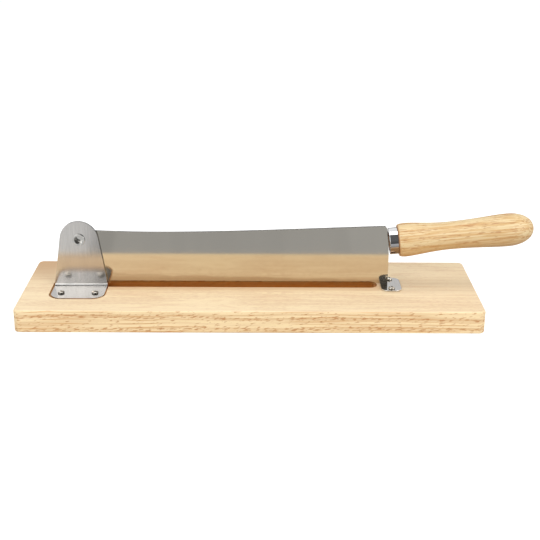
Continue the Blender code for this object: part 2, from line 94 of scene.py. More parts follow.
# Softboxes: name, which is also that of the setting with its power, place and side
SOFTBOXES = (("overhead", (0, -0.1, 1.3), 0.8),
             ("front_left", (-0.95, -1.0, 0.7), 0.9),
             ("front_right", (0.95, -1.0, 0.7), 0.9))


def length(name, description, millimetres):
    """Return a length property, its default in millimetres."""
    return FloatProperty(name=name, description=description, default=millimetres * MM, min=0,
                         unit="LENGTH", precision=5)


def angle(name, description, degrees):
    """Return an angle property, its default in degrees."""
    return FloatProperty(name=name, description=description, default=math.radians(degrees),
                         subtype="ANGLE")


def share(name, description, default):
    """Return a property that runs from 0 to 1."""
    return FloatProperty(name=name, description=description, default=default, min=0, max=1,
                         subtype="FACTOR")


def power(name, description, watts):
    """Return a property for the power of a lamp."""
    return FloatProperty(name=name, description=description, default=watts, min=0, subtype="POWER")


def colour(name, description, default):
    """Return a colour property."""
    return FloatVectorProperty(name=name, description=description, default=default, min=0, max=1,
                               size=3, subtype="COLOR")


class BoardSettings(bpy.types.PropertyGroup):
    """Sizes and colours of the board."""
    corner_radius: length("Corner radius", "Rounding of the corners, seen from above", 5)
    arris: length("Arris", "Rounding of the top and bottom edges", 1.2)
    cut_arris: length("Cut arris", "Softening of the edges of the groove and the pocket", 0.3)
    groove_width: length("Groove width", "Width of the crumb groove", 14)
    groove_depth: length("Groove depth", "Depth of the crumb groove", 10)
    groove_start: length("Groove start", "From the left end of the board to the groove", 39.1)
    groove_end: length("Groove end", "From the left end of the board to the groove's far end", 313.8)
    pocket_left: length("Pocket gap left", "Between the foot and the pocket at the left", 1.9)
    pocket_right: length("Pocket gap right", "Between the foot and the pocket at the right", 1.2)
    pocket_front: length("Pocket gap front", "Between the foot and the pocket in front", 1.8)
    pocket_back: length("Pocket back", "From the blade's middle to the back of the pocket", 5)
    pocket_radius: length("Pocket radius", "Rounding of the pocket's front corners", 12)
    pocket_back_radius: length("Pocket back radius", "Rounding of the pocket's back corners", 4)
    pale: colour("Pale wood", "Colour of the wood between the streaks", (0.930, 0.735, 0.440))
    warm: colour("Warm wood", "Colour of the streaks", (0.740, 0.500, 0.260))
    line: colour("Growth lines", "Colour of the thin growth lines", (0.640, 0.320, 0.110))
    pore: colour("Pores", "Colour of the open pores", (0.500, 0.200, 0.055))
    # Paler colour of the top: partly from sanding, partly a painted sheen
    sanded_and_sheen: colour("Sanded wood", "Colour of the sanded top", (0.880, 0.740, 0.535))
    # Darker colour of the top towards the back left; the same colour is the painted shade next to the
    # groove
    dark_back_and_shade: colour("Heartwood", "Colour of the darker wood towards the back", (0.630, 0.400, 0.215))
    # Burnt colour of the cuts, partly a painted shade and warm bounced light in the groove and pocket
    burnt_and_shade: colour("Scorched wood", "Colour of the cut groove and pocket", (0.905, 0.430, 0.120))


class BracketSettings(bpy.types.PropertyGroup):
    """Sizes and colours of the hinge bracket and the stop plate."""
    sheet: length("Sheet", "Thickness of the bent sheet", 2)
    ear_radius: length("Ear radius", "Round the hinge axis", 16.8)
    foot_radius: length("Foot radius", "Rounding of the foot's front corners", 11)
    bend_radius: length("Bend radius", "Inside the bend", 2)
    edge: length("Edge", "Softening of the sheet's cut edges", 0.2)
    stop_radius: length("Stop plate radius", "Rounding of the stop plate's corners", 6.4)
    lean: angle("Lean", "How far the ear's faces lean towards the user", 3.1)
    steel: colour("Brushed steel", "Colour of the bracket's steel", (0.740, 0.720, 0.695))
    # Painted reflection of wood: a warm band across the ear
    band: colour("Warm band", "Tint of the band across the ear", (0.88, 0.80, 0.73))


class RivetSettings(bpy.types.PropertyGroup):
    """Sizes and colours of the hollow rivet."""
    diameter: length("Diameter", "Of the rivet's body", 8.6)
    wall: length("Wall", "Round the bore", 0.55)
    mouth_wall: length("Mouth wall", "Round the bore where it opens out", 0.4)
    flange: length("Flange", "Diameter of the flange in front", 10.8)
    flange_height: length("Flange height", "How far the flange stands off the ear", 0.6)
    bottom: length("Bottom", "Metal behind the bore", 1.4)
    steel: colour("Rivet steel", "Colour of the rivet", (0.640, 0.630, 0.605))


class ScrewSettings(bpy.types.PropertyGroup):
    """Sizes and colours of the cross-head screws."""
    shank: length("Shank", "Diameter under the head", 3)
    tip: length("Tip", "Length of the point", 3)
    head_height: length("Head height", "From the underside of the head to its crown", 1.6)
    head_edge: length("Head edge", "Height of the head's upright edge", 0.5)
    cross: length("Cross length", "Length of each arm of the cross, end to end", 3.6)
    cross_width: length("Cross width", "Width of each arm of the cross", 0.9)
    cross_depth: length("Cross depth", "Depth of the cross", 1.1)
    plate: colour("Screw plate", "Colour of the plated screws", (0.820, 0.770, 0.680))
    # Painted shade on the steep faces of the screw heads
    bracket_steep_shade: share("Bracket flank", "Tone kept by steep faces, on the bracket", 0.2)
    stop_steep_shade: share("Stop flank", "Tone kept by steep faces, on the stop plate", 0.55)


class BladeSettings(bpy.types.PropertyGroup):
    """Sizes and colours of the blade, measured from the hinge axis."""
    thickness: length("Thickness", "At the highest point of the spine", 2)
    edge_thickness: length("Edge thickness", "Where the cutting edge is ground", 0.4)
    grind: length("Grind", "Height of the ground strip along the cutting edge", 3)
    keenness: share("Keenness", "Share of the edge thickness left at the cutting edge", 0.2)
    edge_start: length("Edge start", "From the hinge axis to the cutting edge", 10)
    edge_length: length("Edge length", "Length of the cutting edge", 251.7)
    heel: length("Heel", "From the cutting edge to the blade's back end", 11.9)
    edge_drop: length("Edge drop", "From the hinge axis down to the cutting edge", 49.8)
    heel_drop: length("Heel drop", "From the hinge axis down to the heel", 41.2)
    spine_start: length("Spine start", "From the hinge axis up to the spine", 8.4)
    spine_low: length("Spine low", "From the hinge axis up to the spine's lowest point", 6.6)
    spine_low_at: length("Spine low at", "From the hinge axis along to the spine's lowest point", 65)
    spine_end: length("Spine end", "From the hinge axis up to the spine's back end", 12.9)
    corner: length("Corner", "Rounding of the spine's back corner", 3)
    edge: length("Spine edge", "Softening of the spine's two edges", 0.2)
    tang_height: length("Tang height", "Height of the tang", 10)
    tang_depth: length("Tang depth", "How far the tang goes into the handle", 55)
    lean: angle("Lean", "How far the polished faces lean towards the user", 2.05)
    steel: colour("Blade steel", "Colour of the polished steel", (0.738, 0.706, 0.632))
    # Painted reflection of wood: a warm tint on the blade's lower half
    low_reflection_tint: colour("Lower tint", "Tint of the lower half", (0.95, 0.89, 0.82))
    low_end: length("Lower end", "From the cutting edge up to the lower half's end", 36)
    # Tint of the band above the cutting edge: partly a ground finish, partly a painted reflection of
    # shaded wood
    honed_tint: colour("Honed tint", "Tint of the honed band", (0.79, 0.71, 0.62))
    honed_low: length("Honed low", "From the cutting edge up to the honed band", 9.6)
    honed_high: length("Honed high", "From the edge up to the band's top, at the hinge", 18.2)
    honed_end: length("Honed end", "From the edge up to the band's top, at the heel", 12.2)


class HandleSettings(bpy.types.PropertyGroup):
    """Sizes and colours of the ferrule and the handle, on their common axis."""
    tilt: angle("Tilt", "How far the handle rises away from the blade", 6.1)
    drop: length("Drop", "From the hinge axis down to the middle of the ferrule's front face", 1.3)
    ferrule: length("Ferrule diameter", "Outer diameter of the ferrule", 23.6)
    ferrule_length: length("Ferrule length", "Length of the ferrule", 7.6)
    ferrule_wall: length("Ferrule wall", "Thickness of the ferrule", 1)
    ferrule_lip: length("Ferrule lip", "How far the front of the ferrule is turned in", 2)
    setback: length("Setback", "From the blade's back end to the ferrule", 0.8)
    length: length("Handle length", "From the ferrule to the butt", 119.5)
    nose: length("Nose radius", "Where the handle meets the ferrule", 13)
    shoulder: length("Shoulder radius", "At the handle's shoulder", 14.9)
    shoulder_at: length("Shoulder at", "From the ferrule to the shoulder", 6)
    waist: length("Waist radius", "At the handle's waist", 12.3)
    waist_at: length("Waist at", "From the ferrule to the waist", 45)
    belly: length("Belly radius", "At the fullest part behind the waist", 14.5)
    butt: length("Butt", "From the belly to the end", 23)
    edge_fullness: share("Edge fullness", "Fullness of the edge at the ferrule", 0.63)
    full_reach: share("Full reach", "How far the shoulder and the belly carry on", 0.25)
    waist_reach: share("Waist reach", "How far the waist carries on", 0.45)
    butt_fullness: share("Butt fullness", "Fullness of the butt", 0.6)
    chrome: colour("Chrome", "Colour of the ferrule", (0.800, 0.800, 0.810))
    # Painted reflection of the shaded wood below, on the ferrule's underside
    painted_under_reflection: colour("Chrome underneath", "Tint of the ferrule's underside", (0.36, 0.25, 0.16))
    pale: colour("Pale wood", "Colour of the wood between the streaks", (0.765, 0.605, 0.345))
    warm: colour("Warm wood", "Colour of the streaks", (0.610, 0.375, 0.150))
    line: colour("Growth lines", "Colour of the thin growth lines", (0.560, 0.270, 0.090))
    pore: colour("Pores", "Colour of the open pores", (0.420, 0.180, 0.060))
    # Painted shade and warm bounced light on the handle's underside
    underside_shade: colour("Deep wood", "Colour of the handle's underside", (0.520, 0.270, 0.080))


class StudioSettings(bpy.types.PropertyGroup):
    """The camera, the light, the floor and how finely turned pieces are shown."""
    camera_place: FloatVectorProperty(name="Camera place", description="Where the camera stands",
                                      default=(0.00812, -0.87897, 0.37331), subtype="TRANSLATION")
    camera_pitch: angle("Camera pitch", "How far the camera looks down", 21.078)
    camera_yaw: angle("Camera yaw", "Turn of the camera about the upright", -0.599)
    camera_roll: angle("Camera roll", "Turn of the camera about its view", 0.428)
    lens: FloatProperty(name="Lens", description="Focal length in millimetres", default=70.512,
                        min=1, subtype="DISTANCE_CAMERA")
    fill: share("Fill", "Level of the light from all round", 0.5)
    overhead: power("Overhead", "Power of the overhead softbox", 5.8)
    front_left: power("Front left", "Power of the left softbox", 7.5)
    front_right: power("Front right", "Power of the right softbox", 10)
    floor: colour("Floor", "Colour of the floor", (0.60, 0.60, 0.60))
    floor_glow: share("Floor glow", "How bright the floor looks by itself", 0.7)
    turned_steps: IntProperty(name="Turned steps", description="Steps round a turned piece",
                              default=128, min=16)


class Field:
    """A number or a vector that varies over a surface, with arithmetic that adds Math nodes."""

    def __init__(self, nodes, socket):
        self.nodes = nodes
        self.socket = socket

    def math(self, operation, first, second=0.0):
        return self.nodes.node("ShaderNodeMath", {"operation": operation}, {0: first, 1: second})

    def __add__(self, other):
        return self.math("ADD", self, other)

    def __radd__(self, other):
        return self.math("ADD", other, self)

    def __sub__(self, other):
        return self.math("SUBTRACT", self, other)

    def __rsub__(self, other):
        return self.math("SUBTRACT", other, self)

    def __mul__(self, other):
        return self.math("MULTIPLY", self, other)

    def __rmul__(self, other):
        return self.math("MULTIPLY", other, self)

    def __neg__(self):
        return 0.0 - self

    def __abs__(self):
        return self.math("ABSOLUTE", self)

    def part(self, number):
        """Return one part of a vector."""
        return self.nodes.node("ShaderNodeSeparateXYZ", None, {"Vector": self}, number)

    x = property(lambda self: self.part(0))
    y = property(lambda self: self.part(1))
    z = property(lambda self: self.part(2))

    def scaled(self, scale):
        """Return a vector or a colour with each of its parts multiplied."""
        return self.nodes.node("ShaderNodeVectorMath", {"operation": "MULTIPLY"}, {0: self, 1: scale})

    def between(self, low, high):
        """Return 0 below one level and 1 above another, with a soft rise between them."""
        return self.nodes.node("ShaderNodeMapRange", {"interpolation_type": "SMOOTHSTEP"},
                               {"Value": self, "From Min": low, "From Max": high})

    def band(self, start, full, fade, end):
        """Return 1 from full to fade, with a soft rise from start and a soft fall to end."""
        return self.between(start, full) - self.between(fade, end)


class Nodes:
    """The nodes of a material or of the world."""

    def __init__(self, tree):
        self.tree = tree

    def feed(self, socket, value):
        """Link a field to a socket, or write a constant in it."""
        if isinstance(value, Field):
            self.tree.links.new(value.socket, socket)
        elif hasattr(socket.default_value, "__len__") and len(value) < len(socket.default_value):
            socket.default_value = (*value, 1)
        else:
            socket.default_value = value

    def node(self, kind, settings=None, inputs=None, output=0):
        """Add a node, set it, feed its inputs and return one of its outputs."""
        made = self.tree.nodes.new(kind)
        for key, value in (settings or {}).items():
            setattr(made, key, value)
        for key, value in (inputs or {}).items():
            self.feed(made.inputs[key], value)
        return Field(self, made.outputs[output])

    def ray(self, kind):
        """Return 1 where a surface is met by one kind of ray."""
        return self.node("ShaderNodeLightPath", output=kind)


class Finish(Nodes):
    """A material in the making: its Principled shader and the nodes that feed it."""

    def __init__(self, name, metallic=0.0):
        self.material = bpy.data.materials.new(name)
        self.material.use_nodes = True
        super().__init__(self.material.node_tree)
        self.shader = self.tree.nodes["Principled BSDF"]
        self.set({"Metallic": metallic})

    def set(self, sockets):
        """Feed the Principled shader's sockets, given by their names."""
        for name, value in sockets.items():
            self.feed(self.shader.inputs[name], value)

    def show(self, shader):
        """Make another shader the material's surface."""
        self.feed(self.tree.nodes["Material Output"].inputs["Surface"], shader)

    def coordinates(self, turn=(0, 0, 0), centre=(0, 0, 0)):
        """Return object coordinates, measured from a centre and turned."""
        raw = self.node("ShaderNodeTexCoord", output="Object")
        from_centre = self.node("ShaderNodeVectorMath", {"operation": "SUBTRACT"}, {0: raw, 1: centre})
        return self.node("ShaderNodeVectorRotate", {"rotation_type": "EULER_XYZ"},
                         {"Vector": from_centre, "Rotation": turn})

    def normal(self):
        """Return the surface's normal in the object's own axes."""
        return self.node("ShaderNodeTexCoord", output="Normal")

    def noise(self, vector, scale, detail=2.0, distortion=0.0):
        """Return noise from 0 to 1 whose features per metre are given along each axis."""
        inputs = {"Vector": vector.scaled(scale), "Scale": 1.0, "Detail": detail, "Distortion": distortion}
        return self.node("ShaderNodeTexNoise", None, inputs)

    def mixed(self, amount, first, second):
        """Return a colour between two colours."""
        return self.node("ShaderNodeMix", {"data_type": "RGBA"}, {0: amount, 6: first, 7: second}, 2)

    def bumped(self, height, distance, strength, normal=None):
        """Return the normal of a surface raised by a field, in metres at a height of 1."""
        inputs = {"Strength": strength, "Distance": distance, "Height": height}
        if normal:
            inputs["Normal"] = normal
        return self.node("ShaderNodeBump", None, inputs)

    def leaning(self, angle):
        """Return the surface's normal, leaning about the X axis where the piece stands upright."""
        upright = self.normal()
        facing = upright.y
        turned = self.node("ShaderNodeVectorRotate", {"rotation_type": "X_AXIS"},
                           {"Vector": upright, "Angle": angle * facing * facing})
        return self.node("ShaderNodeVectorTransform",
                         {"vector_type": "NORMAL", "convert_from": "OBJECT", "convert_to": "WORLD"},
                         {"Vector": turned})


def dimmed(tint, level):
    """Return a darker shade of a colour."""
    return tuple(level * part for part in tint)


def tinted(first, second):
    """Return a colour multiplied by another one."""
    return tuple(part * other for part, other in zip(first, second))


def grained(finish, settings, along, slanted, pore_scale, ring_pitch, shown=1.0, wander=1.0):
    """Give a finish the relief of pale ring-porous wood, and return its colour.

    The wood has yearly rings, whose pitch is given across and up, fine streaks, fibres and short
    open pores, which crowd at the rings. The lines and pores can be made to show less, and the
    grain to wander less.
    """
    pitch_across, pitch_up = ring_pitch
    bend = finish.noise(along, (6, 26, 26), detail=3, distortion=0.5 * wander)
    phase = math.tau / pitch_across * along.y + math.tau / pitch_up * along.z + 9 * wander * bend
    ring = phase.math("SINE", phase).between(0.2, 1.0)
    streaks = finish.noise(along, (12, 330, 500), detail=4, distortion=0.4 * wander)
    fibres = finish.noise(along, (60, 2200, 2200), detail=1)
    tone = (ring * 0.12 + streaks * 0.88).between(0.38, 0.64)
    ground = finish.mixed(tone * 0.8 + fibres * 0.2, settings.pale, settings.warm)
    fine_phase = 3.2 * phase
    lines = fine_phase.math("SINE", fine_phase).between(0.55, 1.0)
    shown_lines = lines * finish.noise(along, (14, 90, 90), detail=1).between(0.46, 0.6)
    cells = finish.noise(slanted, pore_scale)
    pores = (cells + 0.09 * ring).between(0.58, 0.68)
    lined = finish.mixed(0.7 * shown_lines * shown, ground, settings.line)
    finish.set({"Roughness": 0.42 + 0.14 * streaks,
                "Normal": finish.bumped(fibres * 0.4 - pores * shown, 0.05 * MM, 0.5)})
    return finish.mixed(0.75 * pores * shown, lined, settings.pore)


def board_wood(settings):
    """Return the board's wood: a paler top, partly a painted sheen; the top darker towards the back left;
    painted shade next to the groove; burnt wood, partly painted shade, where a cutter has been.
    """
    finish = Finish("board_wood")
    place = finish.coordinates()
    normal = finish.normal()
    slanted = finish.coordinates((0, math.radians(9), 0))
    top = normal.z.between(0.5, 1.0)
    ground = grained(finish, settings, place, slanted, (170, 850, 850), (90 * MM, 11 * MM), 1 - 0.5 * top)
    # Paler top: partly from sanding, partly a painted sheen
    sanded_and_sheen = finish.mixed(0.45 * top, ground, settings.sanded_and_sheen)
    # The top darker towards the back left
    dark_back_and_shade = (place.y.between(-20 * MM, BOARD_HIGH.y)
             * (1 - place.x.between(BOARD_LOW.x + 10 * MM, BOARD_LOW.x + 170 * MM)))
    toned = finish.mixed(dark_back_and_shade * top, sanded_and_sheen, settings.dark_back_and_shade)

    half = settings.groove_width / 2
    start = BOARD_LOW.x + settings.groove_start
    end = BOARD_LOW.x + settings.groove_end
    # Painted shade of the blade on the top next to the groove
    groove_side_shade = ((1 - abs(place.y - HINGE.y).between(1.3 * half, 2.7 * half))
              * place.x.band(start - half, start, end, end + half))
    shaded_groove_side = finish.mixed(0.7 * groove_side_shade * top, toned, settings.dark_back_and_shade)

    depth = BOARD_HIGH.z - place.z
    inside = ((BOARD_HIGH.y - abs(place.y)).between(2 * MM, 3 * MM)
              * (BOARD_HIGH.x - abs(place.x)).between(2 * MM, 3 * MM))
    # Inside the groove and pocket: burnt wood, partly painted shade
    cut = inside * depth.band(0.3 * MM, 1.5 * MM, 14 * MM, 15 * MM)
    # Painted shade: the pocket darker than the groove
    pocket = 1 - place.x.between(start, start + half)
    charred = finish.noise(place, (10, 60, 500)).between(0.4, 0.6)
    # Painted shade: darker at the top of the cut walls, under their edge
    lip = 1 - depth.between(0.8 * MM, 1.6 * MM)
    burnt_wood_and_shade = finish.mixed(0.8 * pocket + 0.3 * charred + 0.15 * lip, settings.burnt_and_shade,
                          dimmed(settings.burnt_and_shade, 0.5))
    # Painted light: walls facing the left kept paler and less burnt, as if lit
    lit_end_wall = (-normal.x).between(0.2, 0.9)
    finish.set({"Base Color": finish.mixed(cut * (0.85 - 0.8 * lit_end_wall), shaded_groove_side, burnt_wood_and_shade)})
    return finish.material


def handle_wood(settings, centre):
    """Return the handle's wood, its grain along the handle's axis, with painted shade on its underside and
    at the ferrule.
    """
    finish = Finish("handle_wood")
    along = finish.coordinates((0, settings.tilt, 0), centre)
    ground = grained(finish, settings, along.scaled((1.8, 1.2, 1.2)), along, (110, 1100, 1100),
                     (30 * MM, 9 * MM), 0.9, 0.3)
    # Painted shade: the underside darker and warmer
    under = (-finish.normal().z).between(-0.2, 0.8)
    toned = finish.mixed(0.6 * under, ground, settings.underside_shade)
    # Painted shade in the gap where the handle meets the ferrule
    face = settings.ferrule_length + GAP
    joint = 1 - along.x.between(face + 0.3 * MM, face + 0.9 * MM)
    finish.set({"Base Color": finish.mixed(0.8 * joint, toned, settings.pore)})
    return finish.material


def polished_steel(settings):
    """Return the blade's polished steel: faint upright patches, a lower half warmed as a painted
    reflection of wood, a band above the cutting edge whose tint is partly a painted reflection of shaded
    wood, and edge faces painted dark.
    """
    finish = Finish("polished_steel", metallic=1.0)
    place = finish.coordinates()
    patches = finish.noise(place, (25, 1, 5))
    lines = finish.noise(place, (2500, 1, 40))
    face = finish.mixed(patches.between(0.3, 0.7), dimmed(settings.steel, 0.95), settings.steel)
    over_edge = place.z - (HINGE.z - settings.edge_drop)
    # Painted reflection of wood: the lower half tinted warmer
    high = over_edge.between(settings.low_end - 4 * MM, settings.low_end + 4 * MM)
    face = finish.mixed(high, tinted(settings.steel, settings.low_reflection_tint), face)
    # Band above the cutting edge: partly a ground finish, its tint partly a painted reflection of shaded
    # wood
    taper = (settings.honed_high - settings.honed_end) / settings.edge_length
    reach = settings.honed_high + taper * (HINGE.x + settings.edge_start - place.x)
    wave = 6 * MM * finish.noise(place, (35, 1, 1)) - 3 * MM
    honed_and_reflection = (over_edge.between(settings.honed_low - MM, settings.honed_low)
             * (1 - (over_edge + wave - reach).between(-1.5 * MM, 0.5 * MM)))
    face = finish.mixed(honed_and_reflection, face, tinted(settings.steel, settings.honed_tint))
    # Painted dark reflection on the spine and other edge faces
    flat = abs(finish.normal().y).between(0.3, 0.8)
    finish.set({"Base Color": finish.mixed(flat, dimmed(settings.steel, 0.06), face),
                "Roughness": 0.07 + 0.05 * patches,
                "Normal": finish.bumped(lines, 0.002 * MM, 0.4, finish.leaning(settings.lean))})
    return finish.material


def brushed_steel(settings, lean=0.0):
    """Return steel brushed along the sheet before it was bent, with painted shade in its fold and on its
    edges, and a warm band across the ear that is a painted reflection of wood.
    """
    finish = Finish("brushed_steel", metallic=1.0)
    place = finish.coordinates()
    lines = finish.noise(place, (2600, 50, 50), detail=3)
    patches = finish.noise(place, (120, 30, 30))
    tone = (lines * 0.7 + patches * 0.3).between(0.3, 0.7)
    brushed = finish.mixed(tone, dimmed(settings.steel, 0.84), settings.steel)
    flat = abs(finish.normal().y).between(0.3, 0.8)
    height = place.z - BRACKET_LOW.z - settings.sheet
    behind = BRACKET_HIGH.y - settings.sheet - place.y
    # Painted reflection of wood: a warm band across the ear's face
    band = flat * height.band(11 * MM, 15 * MM, 26 * MM, 34 * MM)
    # Painted shade on the sheet's edge faces above the foot
    edge_shade = (1 - flat) * height.between(3 * MM, 6 * MM)
    # Painted shade in the inner fold of the bend
    crease_shade = behind.band(0.3 * MM, 0.9 * MM, 2.0 * MM, 2.8 * MM) * (1 - height.between(0.6 * MM, 1.2 * MM))
    face = brushed.scaled(finish.mixed(band, (1, 1, 1), settings.band))
    finish.set({"Base Color": finish.mixed(0.7 * edge_shade + crease_shade, face, dimmed(settings.steel, 0.2)),
                "Roughness": 0.08 + flat * (0.05 + 0.10 * lines),
                "Normal": finish.bumped(lines, 0.01 * MM, 0.5, finish.leaning(lean))})
    return finish.material


def plated(name, tint, wear, roughness, slope, kept):
    """Return a plated metal, slightly uneven in tone and gloss.

    Faces under an upward slope keep only a share of the tint's red, green and blue: painted shade on the
    screws, a painted reflection of shaded wood on the ferrule.
    """
    finish = Finish(name, metallic=1.0)
    cloud = finish.noise(finish.coordinates(), (420, 420, 420), detail=3)
    face = finish.mixed(cloud.between(0.3, 0.7), dimmed(tint, wear), tint)
    bright = finish.normal().z.between(slope - 0.2, slope + 0.2)
    finish.set({"Base Color": finish.mixed(bright, tinted(tint, kept), face),
                "Roughness": roughness * (0.8 + 0.4 * cloud)})
    return finish.material


def rivet_steel(settings, front):
    """Return the rivet's nickel plate, with painted shade round the flange and a little down in the bore.
    """
    finish = Finish("rivet_steel", metallic=1.0)
    place = finish.coordinates()
    cloud = finish.noise(place, (420, 420, 420), detail=3)
    depth = place.y - front
    facing = abs(finish.normal().y)
    # Painted shade a little down in the bore
    bottom = depth.between(1.5 * MM, 2.5 * MM) * facing.between(0.5, 0.8)
    # Painted shade on the side of the flange
    rim_shade = (1 - facing.between(0.3, 0.7)) * (1 - depth.between(0.8 * MM, 1.0 * MM))
    rivet_shade = dimmed(settings.steel, 0.55)
    finish.set({"Base Color": finish.mixed(0.15 * bottom + rim_shade, settings.steel, rivet_shade),
                "Roughness": 0.06 + 0.06 * cloud + 0.03 * bottom})
    return finish.material


def block(low, high):
    """Return a bmesh of an upright block between two corners."""
    low, high = Vector(low), Vector(high)
    bm = bmesh.new()
    bmesh.ops.create_cube(bm, size=1)
    bmesh.ops.scale(bm, vec=high - low, verts=bm.verts)
    bmesh.ops.translate(bm, vec=(low + high) / 2, verts=bm.verts)
    return bm


def round_edges(bm, edges, radius, segments):
    """Round some edges of a bmesh."""
    bmesh.ops.bevel(bm, geom=edges, offset=radius, offset_type="OFFSET", segments=segments,
                    profile=0.5, affect="EDGES", material=-1, clamp_overlap=True)


def edges_of(bm, upright):
    """Return the upright edges of a bmesh, or its level ones."""
    return [e for e in bm.edges if (abs(e.verts[0].co.z - e.verts[1].co.z) > WELD) == upright]


def rod(diameter, start, end, steps):
    """Return a bmesh of a cylinder between two points."""
    start, end = Vector(start), Vector(end)
    away = end - start
    place = Matrix.Translation((start + end) / 2) @ away.to_track_quat("Z", "Y").to_matrix().to_4x4()
    bm = bmesh.new()
    bmesh.ops.create_cone(bm, cap_ends=True, segments=steps, radius1=diameter / 2,
                          radius2=diameter / 2, depth=away.length, matrix=place)
    return bm


def prism(outline, low, high):
    """Return a bmesh of an outline in X and Y, raised from one height to another."""
    bm = bmesh.new()
    face = bm.faces.new([bm.verts.new((x, y, low)) for x, y in outline])
    raised = bmesh.ops.extrude_face_region(bm, geom=[face])["geom"]
    lifted = [v for v in raised if isinstance(v, bmesh.types.BMVert)]
    bmesh.ops.translate(bm, verts=lifted, vec=(0, 0, high - low))
    return bm


def turned(profile, steps, place, ring=False):
    """Return a bmesh of a profile of radius and height, turned about +Z and then put in place."""
    bm = bmesh.new()
    points = [bm.verts.new((radius, 0, height)) for radius, height in profile]
    edges = [bm.edges.new(pair) for pair in zip(points, points[1:])]
    if ring:
        edges.append(bm.edges.new((points[-1], points[0])))
    bmesh.ops.spin(bm, geom=points + edges, cent=(0, 0, 0), axis=(0, 0, 1), angle=math.tau,
                   steps=steps, use_merge=True)
    bmesh.ops.remove_doubles(bm, verts=bm.verts, dist=WELD)
    bmesh.ops.recalc_face_normals(bm, faces=bm.faces)
    bmesh.ops.transform(bm, matrix=place, verts=bm.verts)
    return bm


def curve(start, start_handle, end_handle, end, steps=24):
    """Return the points of a smooth curve between two ends, in a plane."""
    knots = [Vector(p) for p in (start, start_handle, end_handle, end)]
    return [p.to_2d() for p in interpolate_bezier(*knots, steps + 1)]


def arc(centre, radius, start, end, steps):
    """Return the points of an arc in a plane, both ends included."""
    angles = [start + (end - start) * i / steps for i in range(steps + 1)]
    return [centre + radius * Vector((math.cos(a), math.sin(a))) for a in angles]


def rounded(before, corner, after, radius, steps=8):
    """Return the points of a corner rounded with an arc that touches both its sides."""
    corner = Vector(corner)
    back = (Vector(before) - corner).normalized()
    ahead = (Vector(after) - corner).normalized()
    half = back.angle(ahead) / 2
    reach = radius / math.tan(half)
    centre = corner + (back + ahead).normalized() * radius / math.sin(half)
    first = corner + back * reach - centre
    last = corner + ahead * reach - centre
    start = math.atan2(first.y, first.x)
    return arc(centre, radius, start, start + last.angle_signed(first), steps)


def screw_holes(context, nodes, below=0.0):
    """Return the cutters of the screws' clearance holes, reaching as far down as the screws or a little
    further.
    """
    diameter = context.scene.bread_screws.shank + 2 * GAP
    holes = []
    for node in nodes:
        low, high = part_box(node)
        x, y = ((low + high) / 2).xy
        holes.append(rod(diameter, (x, y, low.z - below), (x, y, high.z), HOLE_STEPS))
    return holes


def rivet_hole(context, reach):
    """Return the cutter of the rivet's clearance hole, to a reach on both sides of the hinge."""
    across = Vector((0, reach, 0))
    return rod(context.scene.bread_rivet.diameter + 2 * GAP, HINGE - across, HINGE + across, SMALL_STEPS)


def new_piece(name, bm):
    """Turn a bmesh into an object of the scene, in the place of an older one of that name."""
    older = bpy.data.objects.get(name)
    if older:
        bpy.data.objects.remove(older, do_unlink=True)
    mesh = bpy.data.meshes.new(name)
    bm.to_mesh(mesh)
    bm.free()
    piece = bpy.data.objects.new(name, mesh)
    bpy.context.scene.collection.objects.link(piece)
    return piece


def shaped(piece, cutters=()):
    """Cut some bmeshes out of a piece and apply all its modifiers to its mesh."""
    spare = []
    for i, bm in enumerate(cutters):
        cutter = new_piece(f"{piece.name}_cutter_{i}", bm)
        spare.append(cutter)
        cut = piece.modifiers.new(cutter.name, "BOOLEAN")
        cut.operation = "DIFFERENCE"
        cut.solver = "EXACT"
        cut.object = cutter
    seen = piece.evaluated_get(bpy.context.evaluated_depsgraph_get())
    mesh = bpy.data.meshes.new_from_object(seen)
    mesh.name = piece.name
    piece.modifiers.clear()
    piece.data = mesh
    for cutter in spare:
        bpy.data.objects.remove(cutter, do_unlink=True)


def finished(piece, node, body, material, edge=0.0, levelled=False):
    """Shade a piece, soften its edges, give it its material and seat it in the frame."""
    piece.data.materials.clear()
    piece.data.materials.append(material)
    piece.data.shade_smooth()
    piece.data.set_sharp_from_angle(angle=SHARP)
    if edge:
        bevel = piece.modifiers.new("edges", "BEVEL")
        bevel.width = edge
        bevel.segments = 3
        bevel.limit_method = "ANGLE"
        bevel.angle_limit = SHARP
        piece.data.shade_smooth()
    if edge or levelled:
        level = piece.modifiers.new("normals", "WEIGHTED_NORMAL")
        level.keep_sharp = True
    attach(piece, body)
    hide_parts(node)


